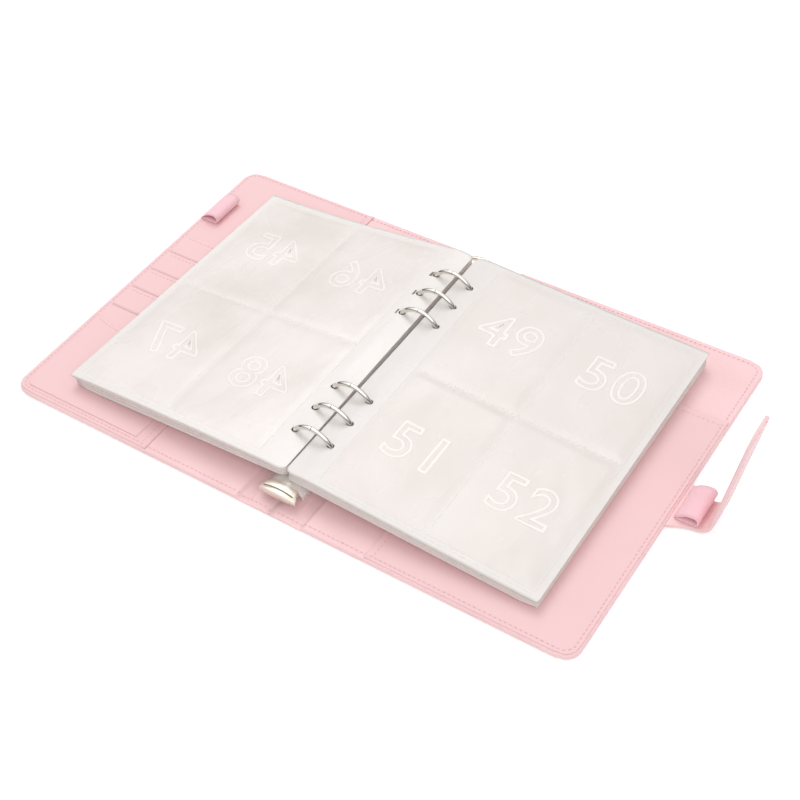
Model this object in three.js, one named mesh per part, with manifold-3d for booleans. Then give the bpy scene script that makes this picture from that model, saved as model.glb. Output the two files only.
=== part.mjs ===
// Six-ring binder wallet for cash envelopes, lying open with its clear pocket sheets on the rings.
// Millimetres, +Z up. X runs across the open covers, Y runs along the spine, and the origin is the
// middle of the spine's outer face, on the table. Left is the front cover, right is the back cover.

import * as THREE from 'three';
import { mergeVertices } from 'three/addons/utils/BufferGeometryUtils.js';
import Module from 'manifold-3d';

const wasm = await Module();
wasm.setup();

// Covers and spine
const COVER_HEIGHT = 235;          // along the spine
const FRONT_REACH = 188.1;         // spine centre to the front cover's outer edge
const BACK_REACH = 185.6;          // spine centre to the back cover's outer edge
const COVER_THICK = 3.5;           // board between two layers of leather
const CORNER_RADIUS = 10;
const EDGE_ROUND = 0.8;            // turned leather edge
const HINGE_LEATHER = 1.4;         // leather without board, where the cover bends
const SPINE_THICK = 2.0;
const SPINE_BOARD_HALF = 14;
const SPINE_RAMP = 1;
const HINGE_X = 18.4;              // bend line of each cover
const HINGE_GAP = 0.6;
const BOARD_START = 20.6;          // spine centre to the board's foot in a cover
const BOARD_RAMP = 2.4;
const STITCH_INSET = 3.4;          // stitch line to the edge
const STITCH_WIDTH = 0.8;
const STITCH_DEPTH = 0.3;

// Pockets on the covers
const POCKET_THICK = 0.7;
const POCKET_INSET = 1.2;
const FRONT_POCKET_EDGE = 87.5;    // spine centre to the front pocket's open edge
const BACK_POCKET_EDGE = 61.5;
const BACK_POCKET_TOP = 65;
const SLOT_TOPS = [41, 22.2, 3.4, -15.4];
const SLOT_BOTTOM = -34;
const SLOT_START = 97;             // spine centre to the slots' inner end
const SLOT_INSET = 5.2;            // slots' outer end to the cover's edge
const SLOT_LIP = 0.8;              // a slot's thickness at its open edge
const SLOT_TAIL = 0.3;             // and where it tucks under the next one
const SLANT_OUTER_Y = -45.3;
const SLANT_INNER_Y = -61;

// Elastic pen loops
const LOOP_HEIGHT = 7.4;
const LOOP_WALL = 1.0;
const LOOP_REACH = 15;
const LOOP_WIDTH = 24;
const LOOP_SEAM = 1.8;             // thickness of the sewn end, in walls
const LOOP_SHOULDER = 0.35;        // where the upper side starts to fall, as a share of the reach
const FRONT_LOOP_Y = 71;
const BACK_LOOP_Y = 1.5;
const LOOP_EDGE_INSET = 1.8;      // front loop's sewn end to the cover's edge
const BACK_LOOP_GAP = 1.5;         // cover's edge to the back loop's sewn end

// Closure strap
const STRAP_THICK = 2.0;
const STRAP_BASE_Z = 0.55;
const STRAP_TUCK = 8;              // length held between the cover's layers
const STRAP_FLAT = 14.5;            // from the cover's edge to the bend
const STRAP_BEND = 8.5;
const STRAP_LEAN = 10;             // degrees from upright
const STRAP_RISE = 79.5;             // straight length after the bend
const STRAP_ROOT_HALF = 17;
const STRAP_HALF = 11.5;
const STRAP_FLARE = 16;            // length over which the root narrows
const STRAP_ROOM = 0.15;           // round the tucked end

// Rings, at the standard six-ring spacing
const RING_Y = [-73, -54, -35, 35, 54, 73];
const RING_RADIUS = 13.5;
const RING_Z = 14;
const WIRE = 1.4;
const RING_TIP_GAP = 0.3;

// Ring mechanism
const CASE_HALF = 11.6;
const CASE_LENGTH = 202;
const CASE_WALL = 0.9;
const CASE_SIDE = 4.6;             // height where the crown starts
const CASE_TOP = 10;
const SLOT_INNER = 7.9;
const WIRE_SLOT = 3.8;
const WIRE_SLOT_LOW = 3.2;
const RIVET_INSET = 13;            // rivet to the case's end
const RIVET_SHAFT = 2.2;
const RIVET_HEAD = 3.8;
const RIVET_HEAD_THICK = 0.7;
const RIVET_FOOT = 0.1;            // rivet's foot over the table
const RIVET_SEAT = 0.05;
const RIVET_CROWN = 0.72;          // crown's share of the head's radius
const RIVET_DOME = 1.3;            // dome's height in head thicknesses
const BLADE_PIVOT_X = 10.3;
const BLADE_PIVOT_Z = 3.5;
const BLADE_THICK = 1.0;
const BLADE_INSET = 4;             // blade's end inside the case's end
const BLADE_DIP = 3;               // degrees, closed rings
const LEVER_GAP = 0.8;
const LEVER_LENGTH = 7.8;
const LEVER_ROOT_HALF = 9.9;
const LEVER_TAB_HALF = 12;
const LEVER_LOW = 6.4;
const LEVER_TOP = 12;
const LEVER_SIDE = 2.6;            // height of the straight sides
const LEVER_NECK = 0.35;           // where the flare starts, as a share of the length
const LEVER_BOW = 1;               // how far the tab's face stands out in the middle
const LEVER_CHEEK = 2.4;           // metal beside the slit
const LEVER_WEB = 1.8;             // and under it
const TONGUE_HALF = 4;             // the lever's tongue, which reaches into the case
const TONGUE_REACH = 3;
const TONGUE_THICK = 1;
const LEVER_SLIT = 0.9;
const LEVER_TAB_THICK = 2.4;

// Clear pocket sheets, one stack on each side
const SHEET_HALF_HEIGHT = 100;
const SHEET_INNER = 2.2;
const SHEET_MARGIN = 32.3;         // sheets' outer edge to the front cover's edge
const SHEET_TOP = 21.3;            // over the rings
const STACK_THICK = 8.5;           // over the rings
const STACK_FALL = 0.058;          // slope of the lowest sheet, down to the pockets
const STACK_LIFT = 0.4;            // clearance over what lies below
const HOLE_CENTRE = 12.15;
const HOLE_HALF_X = 3.4;
const HOLE_HALF_Y = 3.0;
const ROOM_OUTER = 17;             // sliding room under the holes
const ROOM_INNER = 5.6;
const ROOM_HALF = 3;
const HOLE_FACE = 0.8;             // depth of the round punched hole, above the sliding room
const WELD_INNER = 20;             // spine centre to the weld beside the holes
const WELD_OUTER = 4;              // outer weld to the sheets' edge
const PUFF = 0.5;                  // filled pockets stand this much over their seams
const SHEET_EDGE_SAG = 0.8;        // inner margins, between the rings
const CLEARANCE = 0.3;

// Derived sizes
const HALF_HEIGHT = COVER_HEIGHT / 2;
const POCKET_TOP = COVER_THICK + POCKET_THICK;
const SLOT_TOP_Z = POCKET_TOP + SLOT_LIP;
const CASE_HALF_LENGTH = CASE_LENGTH / 2;
const RIVET_Y = CASE_HALF_LENGTH - RIVET_INSET;
const SHEET_OUTER = FRONT_REACH - SHEET_MARGIN;
const FAR = 400;

// Materials
const finish = (color, roughness, metalness = 0) => new THREE.MeshStandardMaterial({ color, roughness, metalness });
const leather = () => finish(0xf5cdd0, 0.55);
const lining = () => finish(0xf7d3d6, 0.55);
const elastic = () => finish(0xf7bccb, 0.85);
const nickel = () => finish(0xb9b2aa, 0.22, 1);
const champagne = () => finish(0xd9d0c2, 0.3, 1);
const film = () => finish(0xf0eae6, 0.25);

const model = new THREE.Group();

function toSolid(geometry) {
  geometry.deleteAttribute('normal');
  geometry.deleteAttribute('uv');
  const merged = mergeVertices(geometry, 1e-4);
  const vertProperties = new Float32Array(merged.attributes.position.array);
  const triVerts = new Uint32Array(merged.index.array);
  return new wasm.Manifold(new wasm.Mesh({ numProp: 3, vertProperties, triVerts }));
}

function addNode(name, solid, material) {
  const data = solid.getMesh();
  const geometry = new THREE.BufferGeometry();
  geometry.setAttribute('position', new THREE.BufferAttribute(data.vertProperties, 3));
  geometry.setIndex(new THREE.BufferAttribute(data.triVerts, 1));
  geometry.computeVertexNormals();
  const mesh = new THREE.Mesh(geometry, material);
  mesh.name = name;
  model.add(mesh);
}

function shapeOf(points) {
  return new THREE.Shape(points.map(([x, y]) => new THREE.Vector2(x, y)));
}

// A flat outline in XY, raised from one height to another.
function plate(shape, low, high, curveSegments = 8) {
  const geometry = new THREE.ExtrudeGeometry(shape, { depth: high - low, bevelEnabled: false, curveSegments });
  geometry.translate(0, 0, low);
  return toSolid(geometry);
}

// A section in XZ, drawn out along Y.
function drawAlongY(shape, start, end, curveSegments = 10) {
  const geometry = new THREE.ExtrudeGeometry(shape, { depth: end - start, bevelEnabled: false, curveSegments });
  geometry.rotateX(Math.PI / 2);
  geometry.translate(0, end, 0);
  return toSolid(geometry);
}

// A section in YZ, drawn out along X.
function drawAlongX(shape, start, end) {
  const geometry = new THREE.ExtrudeGeometry(shape, { depth: end - start, bevelEnabled: false });
  geometry.rotateX(Math.PI / 2);
  geometry.rotateZ(Math.PI / 2);
  geometry.translate(start, 0, 0);
  return toSolid(geometry);
}

function block(x0, x1, y0, y1, z0, z1) {
  const geometry = new THREE.BoxGeometry(x1 - x0, y1 - y0, z1 - z0);
  geometry.translate((x0 + x1) / 2, (y0 + y1) / 2, (z0 + z1) / 2);
  return toSolid(geometry);
}

function rod(radius, x, y, z0, z1) {
  const geometry = new THREE.CylinderGeometry(radius, radius, z1 - z0, 20);
  geometry.rotateX(Math.PI / 2);
  geometry.translate(x, y, (z0 + z1) / 2);
  return toSolid(geometry);
}

// A closed sheet between two surfaces, each given over a grid of rows and columns.
function sheetSolid(rows, cols, upper, lower) {
  const positions = [];
  const index = [];
  const stride = cols + 1;
  const half = (rows + 1) * stride;
  for (const surface of [upper, lower]) {
    for (let i = 0; i <= rows; i += 1) {
      for (let j = 0; j <= cols; j += 1) {
        positions.push(...surface(i / rows, j / cols));
      }
    }
  }
  const quad = (a, b, c, d) => index.push(a, b, c, a, c, d);
  for (let i = 0; i < rows; i += 1) {
    for (let j = 0; j < cols; j += 1) {
      const a = i * stride + j;
      quad(a, a + stride, a + stride + 1, a + 1);
      quad(half + a, half + a + 1, half + a + stride + 1, half + a + stride);
    }
  }
  for (let i = 0; i < rows; i += 1) {
    const a = i * stride;
    const b = a + cols;
    quad(a, half + a, half + a + stride, a + stride);
    quad(b, b + stride, half + b + stride, half + b);
  }
  for (let j = 0; j < cols; j += 1) {
    const b = rows * stride + j;
    quad(j, j + 1, half + j + 1, half + j);
    quad(b, half + b, half + b + 1, b + 1);
  }
  const geometry = new THREE.BufferGeometry();
  geometry.setAttribute('position', new THREE.Float32BufferAttribute(positions, 3));
  geometry.setIndex(index);
  return toSolid(geometry);
}

// The outline of one cover, inset from its outer edges and open towards the spine.
function coverOutline(reach, inset, start) {
  const edge = reach - inset;
  const top = HALF_HEIGHT - inset;
  const radius = CORNER_RADIUS - inset;
  const shape = new THREE.Shape();
  shape.moveTo(start, -top);
  shape.lineTo(edge - radius, -top);
  shape.absarc(edge - radius, -top + radius, radius, -Math.PI / 2, 0, false);
  shape.lineTo(edge, top - radius);
  shape.absarc(edge - radius, top - radius, radius, 0, Math.PI / 2, false);
  shape.lineTo(start, top);
  return shape;
}

function mirrored(shape, side) {
  return new THREE.Shape(shape.getPoints(8).map((point) => new THREE.Vector2(side * point.x, point.y)));
}

// The sunk line that the stitches lie in, round a cover's three outer edges.
function stitchLine(side, reach, top) {
  const outer = mirrored(coverOutline(reach, STITCH_INSET - STITCH_WIDTH / 2, 0), side);
  const inner = mirrored(coverOutline(reach, STITCH_INSET + STITCH_WIDTH / 2, -1), side);
  const band = plate(outer, top - STITCH_DEPTH, top + 1);
  return band.subtract(plate(inner, top - 1, top + 2));
}

function cover(side, reach) {
  const start = HINGE_X + HINGE_GAP / 2;
  const section = shapeOf([
    [side * start, 0],
    [side * FAR, 0],
    [side * FAR, COVER_THICK],
    [side * (BOARD_START + BOARD_RAMP), COVER_THICK],
    [side * BOARD_START, HINGE_LEATHER],
    [side * start, HINGE_LEATHER],
  ]);
  const outline = new THREE.ExtrudeGeometry(mirrored(coverOutline(reach, 0, 0), side), {
    depth: COVER_THICK - 2 * EDGE_ROUND,
    bevelThickness: EDGE_ROUND,
    bevelSize: EDGE_ROUND,
    bevelOffset: -EDGE_ROUND,
    bevelSegments: 2,
  });
  outline.translate(0, 0, EDGE_ROUND);
  const board = toSolid(outline).intersect(drawAlongY(section, -FAR, FAR));
  return board.subtract(stitchLine(side, reach, COVER_THICK));
}

function spine() {
  const half = HINGE_X - HINGE_GAP / 2;
  const section = shapeOf([
    [-half, 0],
    [half, 0],
    [half, HINGE_LEATHER],
    [SPINE_BOARD_HALF + SPINE_RAMP, HINGE_LEATHER],
    [SPINE_BOARD_HALF, SPINE_THICK],
    [-SPINE_BOARD_HALF, SPINE_THICK],
    [-SPINE_BOARD_HALF - SPINE_RAMP, HINGE_LEATHER],
    [-half, HINGE_LEATHER],
  ]);
  const side = shapeOf([
    [-HALF_HEIGHT + EDGE_ROUND, 0],
    [HALF_HEIGHT - EDGE_ROUND, 0],
    [HALF_HEIGHT, EDGE_ROUND],
    [HALF_HEIGHT - EDGE_ROUND, SPINE_THICK],
    [-HALF_HEIGHT + EDGE_ROUND, SPINE_THICK],
    [-HALF_HEIGHT, EDGE_ROUND],
  ]);
  let body = drawAlongY(section, -HALF_HEIGHT, HALF_HEIGHT).intersect(drawAlongX(side, -half - 1, half + 1));
  for (const y of [-RIVET_Y, RIVET_Y]) {
    body = body.subtract(rod(RIVET_SHAFT + CLEARANCE, 0, y, -1, SPINE_THICK + 1));
    body = body.subtract(rod(RIVET_HEAD + CLEARANCE, 0, y, -1, RIVET_HEAD_THICK + CLEARANCE));
  }
  return body;
}

// A pocket panel: leather stitched on along the cover's outer edges, with one or two free edges.
function pocket(side, reach, freeEdge, topEdge) {
  const outline = mirrored(coverOutline(reach, POCKET_INSET, freeEdge), side);
  const panel = plate(outline, COVER_THICK, POCKET_TOP).subtract(stitchLine(side, reach, POCKET_TOP));
  if (topEdge === undefined) return panel;
  return panel.subtract(block(-FAR, FAR, topEdge, FAR, 0, FAR));
}

// One card slot: its lip stands proud over the slot above, its tail lies under the next lip.
function cardSlot(lip, tail) {
  const section = shapeOf([
    [tail, POCKET_TOP],
    [lip, POCKET_TOP],
    [lip, POCKET_TOP + SLOT_LIP],
    [tail, POCKET_TOP + SLOT_TAIL],
  ]);
  return drawAlongX(section, -FRONT_REACH + SLOT_INSET, -SLOT_START);
}

function slantPocket() {
  const outer = -FRONT_REACH + SLOT_INSET;
  const low = -HALF_HEIGHT + SLOT_INSET;
  const shape = shapeOf([
    [outer, low + CORNER_RADIUS / 2],
    [outer + CORNER_RADIUS / 2, low],
    [-SLOT_START, low],
    [-SLOT_START, SLANT_INNER_Y],
    [outer, SLANT_OUTER_Y],
  ]);
  return plate(shape, POCKET_TOP, POCKET_TOP + POCKET_THICK);
}

// A flat tube of elastic: a tear-drop section, sewn at its thin end.
function penLoop(side, edge, base, y) {
  const round = LOOP_HEIGHT / 2;
  const drop = (inset, start) => {
    const radius = round - inset;
    const shape = new THREE.Shape();
    shape.moveTo(start, inset);
    shape.lineTo(LOOP_REACH - round, inset);
    shape.absarc(LOOP_REACH - round, round, radius, -Math.PI / 2, Math.PI / 2, false);
    shape.quadraticCurveTo(LOOP_REACH * LOOP_SHOULDER, LOOP_HEIGHT - inset, start, inset + (inset ? 0.2 : LOOP_SEAM * LOOP_WALL));
    return shape;
  };
  const outer = drop(0, 0);
  outer.holes.push(drop(LOOP_WALL, LOOP_WALL + CLEARANCE * 4));
  const loop = drawAlongY(outer, y - LOOP_WIDTH / 2, y + LOOP_WIDTH / 2, 6);
  const placed = side > 0 ? loop : loop.mirror([1, 0, 0]);
  return placed.translate([edge, 0, base]);
}

// The closure strap: flat where it leaves the cover, then bent upright, with a round tip.
function strapPoint(s) {
  const turn = THREE.MathUtils.degToRad(90 - STRAP_LEAN);
  const centre = STRAP_BASE_Z + STRAP_THICK / 2;
  const flat = STRAP_TUCK + STRAP_FLAT;
  const start = BACK_REACH - STRAP_TUCK;
  const bend = STRAP_BEND * turn;
  if (s < flat) return { x: start + s, z: centre, angle: 0 };
  const angle = Math.min((s - flat) / STRAP_BEND, turn);
  const past = Math.max(s - flat - bend, 0);
  return {
    x: start + flat + STRAP_BEND * Math.sin(angle) + past * Math.cos(angle),
    z: centre + STRAP_BEND * (1 - Math.cos(angle)) + past * Math.sin(angle),
    angle,
  };
}

function strapHalfWidth(s, length) {
  const flare = THREE.MathUtils.clamp((s - STRAP_TUCK) / STRAP_FLARE, 0, 1);
  const side = STRAP_ROOT_HALF + (STRAP_HALF - STRAP_ROOT_HALF) * Math.sin(flare * Math.PI / 2);
  const toTip = THREE.MathUtils.clamp((length - s) / STRAP_HALF, 0.004, 1);
  return side * Math.sqrt(1 - (1 - toTip) ** 2);
}

function strap() {
  const bend = STRAP_BEND * THREE.MathUtils.degToRad(90 - STRAP_LEAN);
  const length = STRAP_TUCK + STRAP_FLAT + bend + STRAP_RISE;
  const surface = (offset) => (i, j) => {
    const s = length * (i < 0.8 ? i : 1 - 0.2 * (1 - (i - 0.8) / 0.2) ** 1.6);
    const point = strapPoint(s);
    const y = (j * 2 - 1) * strapHalfWidth(s, length);
    return [point.x - offset * Math.sin(point.angle), y, point.z + offset * Math.cos(point.angle)];
  };
  return sheetSolid(40, 2, surface(STRAP_THICK / 2), surface(-STRAP_THICK / 2));
}

function strapPocket() {
  return block(
    BACK_REACH - STRAP_TUCK - STRAP_ROOM, BACK_REACH + 1,
    -STRAP_ROOT_HALF - STRAP_ROOM, STRAP_ROOT_HALF + STRAP_ROOM,
    STRAP_BASE_Z - STRAP_ROOM, STRAP_BASE_Z + STRAP_THICK + STRAP_ROOM,
  );
}

// The sheet-metal case over the blades, with a notch for each wire.
function crown(half, top, side) {
  const radius = (half ** 2 + (top - side) ** 2) / (2 * (top - side));
  return { radius, centre: top - radius, angle: Math.asin(half / radius) };
}

function archPath(half, low, side, top) {
  const arc = crown(half, top, side);
  const path = new THREE.Shape();
  path.moveTo(-half, low);
  path.lineTo(half, low);
  path.lineTo(half, side);
  path.absarc(0, arc.centre, arc.radius, Math.PI / 2 - arc.angle, Math.PI / 2 + arc.angle, false);
  return path;
}

function mechanismCase() {
  const outer = drawAlongY(archPath(CASE_HALF, SPINE_THICK, CASE_SIDE, CASE_TOP), -CASE_HALF_LENGTH, CASE_HALF_LENGTH, 12);
  const hollow = archPath(CASE_HALF - CASE_WALL, SPINE_THICK - 1, CASE_SIDE, CASE_TOP - CASE_WALL);
  let shell = outer.subtract(drawAlongY(hollow, -CASE_HALF_LENGTH - 1, CASE_HALF_LENGTH + 1, 12));
  for (const y of RING_Y) {
    for (const side of [-1, 1]) {
      const near = Math.min(side * SLOT_INNER, side * (CASE_HALF + 1));
      const far = Math.max(side * SLOT_INNER, side * (CASE_HALF + 1));
      shell = shell.subtract(block(near, far, y - WIRE_SLOT / 2, y + WIRE_SLOT / 2, WIRE_SLOT_LOW, CASE_TOP));
    }
  }
  for (const y of [-RIVET_Y, RIVET_Y]) {
    shell = shell.subtract(rod(RIVET_SHAFT + CLEARANCE, 0, y, CASE_SIDE, CASE_TOP + 1));
  }
  return shell;
}

function rivet(y) {
  const low = RIVET_FOOT;
  const seat = CASE_TOP + RIVET_SEAT;
  const profile = [
    [0, low],
    [RIVET_HEAD, low],
    [RIVET_HEAD, RIVET_HEAD_THICK],
    [RIVET_SHAFT, low + RIVET_HEAD_THICK],
    [RIVET_SHAFT, seat],
    [RIVET_HEAD, seat],
    [RIVET_HEAD * RIVET_CROWN, seat + RIVET_HEAD_THICK],
    [0, seat + RIVET_HEAD_THICK * RIVET_DOME],
  ];
  const geometry = new THREE.LatheGeometry(profile.map(([x, z]) => new THREE.Vector2(x, z)), 20);
  geometry.rotateX(Math.PI / 2);
  geometry.translate(0, y, 0);
  return toSolid(geometry);
}

// Everything on a blade turns with it, so the blade and the wire's foot share one tilted frame.
function bladeSlab(side, low, high) {
  const slab = new THREE.BoxGeometry(BLADE_PIVOT_X - CLEARANCE, CASE_LENGTH - 2 * BLADE_INSET, high - low);
  slab.translate(side * -(BLADE_PIVOT_X - CLEARANCE) / 2, 0, (low + high) / 2);
  slab.rotateY(side * -THREE.MathUtils.degToRad(BLADE_DIP));
  slab.translate(side * BLADE_PIVOT_X, 0, BLADE_PIVOT_Z);
  return toSolid(slab);
}

function blade(side) {
  let body = bladeSlab(side, -BLADE_THICK / 2, BLADE_THICK / 2);
  for (const y of [-RIVET_Y, RIVET_Y]) {
    body = body.subtract(rod(RIVET_SHAFT + 3 * CLEARANCE, 0, y, 0, CASE_TOP));
  }
  return body;
}

class RingArc extends THREE.Curve {
  constructor(side, start, end, y) {
    super();
    Object.assign(this, { side, start, end, y });
  }

  getPoint(t, target = new THREE.Vector3()) {
    const angle = THREE.MathUtils.lerp(this.start, this.end, t);
    const x = this.side * RING_RADIUS * Math.cos(angle);
    return target.set(x, this.y, RING_Z + RING_RADIUS * Math.sin(angle));
  }
}

function halfRing(side, y) {
  const tip = Math.PI / 2 - RING_TIP_GAP / 2 / RING_RADIUS;
  const foot = -Math.asin((RING_Z - SPINE_THICK) / RING_RADIUS);
  const section = new THREE.Shape();
  section.absarc(0, 0, WIRE, 0, 2 * Math.PI, false);
  const options = { steps: 14, curveSegments: 5, extrudePath: new RingArc(side, tip, foot, y), bevelEnabled: false };
  const wire = toSolid(new THREE.ExtrudeGeometry(section, options));
  return wire.subtract(bladeSlab(side, -FAR / 10, BLADE_THICK / 2 + CLEARANCE));
}

// A lever: its body flares to a wide thumb tab, parted from it by a slit.
function lever(side) {
  const start = CASE_HALF_LENGTH + LEVER_GAP;
  const end = start + LEVER_LENGTH;
  const neck = start + LEVER_LENGTH * LEVER_NECK;
  const plan = new THREE.Shape();
  plan.moveTo(-LEVER_ROOT_HALF, start);
  plan.lineTo(LEVER_ROOT_HALF, start);
  plan.quadraticCurveTo(LEVER_ROOT_HALF, neck, LEVER_TAB_HALF, end - LEVER_TAB_THICK);
  plan.lineTo(LEVER_TAB_HALF, end - LEVER_BOW);
  plan.quadraticCurveTo(0, end + LEVER_BOW, -LEVER_TAB_HALF, end - LEVER_BOW);
  plan.lineTo(-LEVER_TAB_HALF, end - LEVER_TAB_THICK);
  plan.quadraticCurveTo(-LEVER_ROOT_HALF, neck, -LEVER_ROOT_HALF, start);
  const front = archPath(LEVER_TAB_HALF, LEVER_LOW, LEVER_LOW + LEVER_SIDE, LEVER_TOP);
  const slitEnd = end - LEVER_TAB_THICK;
  const tongueStart = CASE_HALF_LENGTH - TONGUE_REACH;
  const tongue = block(-TONGUE_HALF, TONGUE_HALF, tongueStart, start + 1, LEVER_LOW, LEVER_LOW + TONGUE_THICK);
  const slitHalf = LEVER_TAB_HALF - LEVER_CHEEK;
  const body = plate(plan, LEVER_LOW - 1, LEVER_TOP + 1)
    .intersect(drawAlongY(front, start - 1, end + 2, 12))
    .subtract(block(-slitHalf, slitHalf, slitEnd - LEVER_SLIT, slitEnd, LEVER_LOW + LEVER_WEB, FAR))
    .add(tongue);
  return side > 0 ? body : body.mirror([0, 1, 0]);
}

// The stacks of clear sheets rise over the mechanism and lie down on the covers' pockets.
// Height, tilt and fall are those of the top sheet at its outer edge; v runs from the near end, -1, to the far end, 1.
const RIGHT_LIE = { height: 13.3, tilt: 1.5, fall: 1.15, bend: 0.08 };
const LEFT_LIE = { height: 10.7, tilt: -3.3, fall: 1.1, bend: 0.5 };

function topSheet(lie, u, v) {
  const outer = lie.height + lie.tilt * v;
  const across = THREE.MathUtils.clamp((u - HOLE_CENTRE) / (SHEET_OUTER - HOLE_CENTRE), 0, 1);
  return outer + (SHEET_TOP - outer) * (1 - across) ** (lie.fall + lie.bend * v);
}

// Each sheet has two rows of two pockets, slightly filled.
function pocketPuff(u, v) {
  const across = THREE.MathUtils.clamp((u - WELD_INNER) / (SHEET_OUTER - WELD_OUTER - WELD_INNER), 0, 1);
  return PUFF * Math.sqrt(Math.abs(Math.sin(across * 2 * Math.PI) * Math.sin(v * Math.PI)));
}

function stack(side, lie, floor) {
  const reachAt = (i) => SHEET_INNER + (SHEET_OUTER - SHEET_INNER) * i;
  const upper = (i, j) => {
    const u = reachAt(i);
    const v = j * 2 - 1;
    const sag = SHEET_EDGE_SAG * Math.max(1 - u / HOLE_CENTRE, 0);
    return [side * u, v * SHEET_HALF_HEIGHT, topSheet(lie, u, v) - sag - PUFF + pocketPuff(u, v)];
  };
  const lower = (i, j) => {
    const u = reachAt(i);
    const v = j * 2 - 1;
    return [side * u, v * SHEET_HALF_HEIGHT, Math.max(floor, SHEET_TOP - STACK_THICK - STACK_FALL * (u - HOLE_CENTRE))];
  };
  const body = side > 0 ? sheetSolid(24, 16, upper, lower) : sheetSolid(24, 16, mirrorRows(upper), mirrorRows(lower));
  return RING_Y.reduce((solid, y) => solid.subtract(ringPassage(side, y)), body);
}

function mirrorRows(surface) {
  return (i, j) => surface(1 - i, j);
}

// A punched hole at the face, and below it the room in which the wire slides as the stack turns.
function ringPassage(side, y) {
  const hole = new THREE.CylinderGeometry(1, 1, STACK_THICK, 20);
  hole.rotateX(Math.PI / 2);
  hole.scale(HOLE_HALF_X, HOLE_HALF_Y, 1);
  hole.translate(side * HOLE_CENTRE, y, SHEET_TOP);
  const roomTop = SHEET_TOP - HOLE_FACE;
  const room = shapeOf([
    [side * (HOLE_CENTRE - HOLE_HALF_X), roomTop],
    [side * (HOLE_CENTRE + HOLE_HALF_X), roomTop],
    [side * ROOM_OUTER, RING_Z + ROOM_HALF],
    [side * ROOM_OUTER, RING_Z - ROOM_HALF],
    [side * ROOM_INNER, RING_Z - ROOM_HALF],
  ]);
  return toSolid(hole).add(drawAlongY(room, y - WIRE - 2 * CLEARANCE, y + WIRE + 2 * CLEARANCE));
}

// Spine, mechanism case and rivets
addNode('spine_panel', spine(), leather());
addNode('mechanism_case', mechanismCase(), nickel());
addNode('near_rivet', rivet(-RIVET_Y), nickel());
addNode('far_rivet', rivet(RIVET_Y), nickel());

// Blades with their half rings, and the levers that part them
for (const [name, side] of [['left', -1], ['right', 1]]) {
  addNode(`${name}_blade`, blade(side), nickel());
  RING_Y.forEach((y, i) => addNode(`${name}_half_ring_${i + 1}`, halfRing(side, y), nickel()));
}
addNode('near_lever', lever(-1), champagne());
addNode('far_lever', lever(1), champagne());

// Front cover, on the left
addNode('front_cover', cover(-1, FRONT_REACH), leather());
addNode('front_pocket', pocket(-1, FRONT_REACH, FRONT_POCKET_EDGE), lining());
SLOT_TOPS.forEach((lip, i) => {
  const tail = i + 1 < SLOT_TOPS.length ? SLOT_TOPS[i + 1] + CLEARANCE : SLOT_BOTTOM;
  addNode(`card_slot_${i + 1}`, cardSlot(lip, tail), lining());
});
addNode('slant_pocket', slantPocket(), lining());
addNode('front_pen_loop', penLoop(1, -FRONT_REACH + LOOP_EDGE_INSET, POCKET_TOP + 0.05, FRONT_LOOP_Y), elastic());

// Back cover, on the right, with the closure strap
addNode('back_cover', cover(1, BACK_REACH).subtract(strapPocket()), leather());
addNode('back_pocket', pocket(1, BACK_REACH, BACK_POCKET_EDGE, BACK_POCKET_TOP), lining());
addNode('closure_strap', strap(), leather());
addNode('back_pen_loop', penLoop(1, BACK_REACH + BACK_LOOP_GAP, STRAP_BASE_Z + STRAP_THICK + 0.05, BACK_LOOP_Y), elastic());

// Clear pocket sheets
addNode('left_sheets', stack(-1, LEFT_LIE, SLOT_TOP_Z + STACK_LIFT), film());
addNode('right_sheets', stack(1, RIGHT_LIE, POCKET_TOP + STACK_LIFT), film());

export default model;
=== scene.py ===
"""Dresses an open six-ring cash wallet: leather covers, clear pocket sheets, nickel rings and elastic loops."""

import math
import random

import bmesh
import bpy
from mathutils import Matrix, Vector, noise


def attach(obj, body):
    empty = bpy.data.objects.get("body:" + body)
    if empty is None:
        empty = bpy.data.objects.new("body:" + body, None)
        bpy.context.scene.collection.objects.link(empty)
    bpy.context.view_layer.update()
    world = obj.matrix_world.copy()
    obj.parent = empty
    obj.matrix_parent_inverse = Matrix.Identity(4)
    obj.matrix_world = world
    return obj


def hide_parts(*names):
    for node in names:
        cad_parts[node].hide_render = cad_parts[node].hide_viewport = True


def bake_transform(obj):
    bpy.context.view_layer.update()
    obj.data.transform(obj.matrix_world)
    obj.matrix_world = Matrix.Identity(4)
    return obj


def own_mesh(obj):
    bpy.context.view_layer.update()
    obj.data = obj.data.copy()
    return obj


bl_info = {
    "name": "Cash wallet with clear sheets",
    "version": (1, 0, 0),
    "blender": (4, 5, 0),
    "location": "3D View > Sidebar > Wallet",
    "description": "Dresses the open ring wallet: leather, film, metal and elastic",
    "category": "Object",
}

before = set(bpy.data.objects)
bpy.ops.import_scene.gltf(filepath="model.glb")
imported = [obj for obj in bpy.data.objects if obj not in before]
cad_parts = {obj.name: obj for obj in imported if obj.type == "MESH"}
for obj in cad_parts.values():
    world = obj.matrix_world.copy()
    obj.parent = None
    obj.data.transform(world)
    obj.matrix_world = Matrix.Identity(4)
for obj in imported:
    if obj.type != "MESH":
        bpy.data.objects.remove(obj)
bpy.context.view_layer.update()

# Lengths in the making functions are millimetres, and finished meshes are metres. A point is given by
# u, its distance from the middle of the spine, and y, its place along the spine.
MM = 0.001
LEFT, RIGHT = -1, 1
HINGE_X = 18.4
HINGE_LEATHER = 1.4
SPINE_THICK = 2.0
SPINE_HALF = 14.0
BOARD_FOOT = (20.6, 23.0)
EDGE_ROUND = 1.2
POCKET_INSET = 1.2
POCKET_THICK = 0.7
SLOT_TOPS = (41.0, 22.2, 3.4, -15.4)
SLOT_BOTTOM = -34.0
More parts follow.
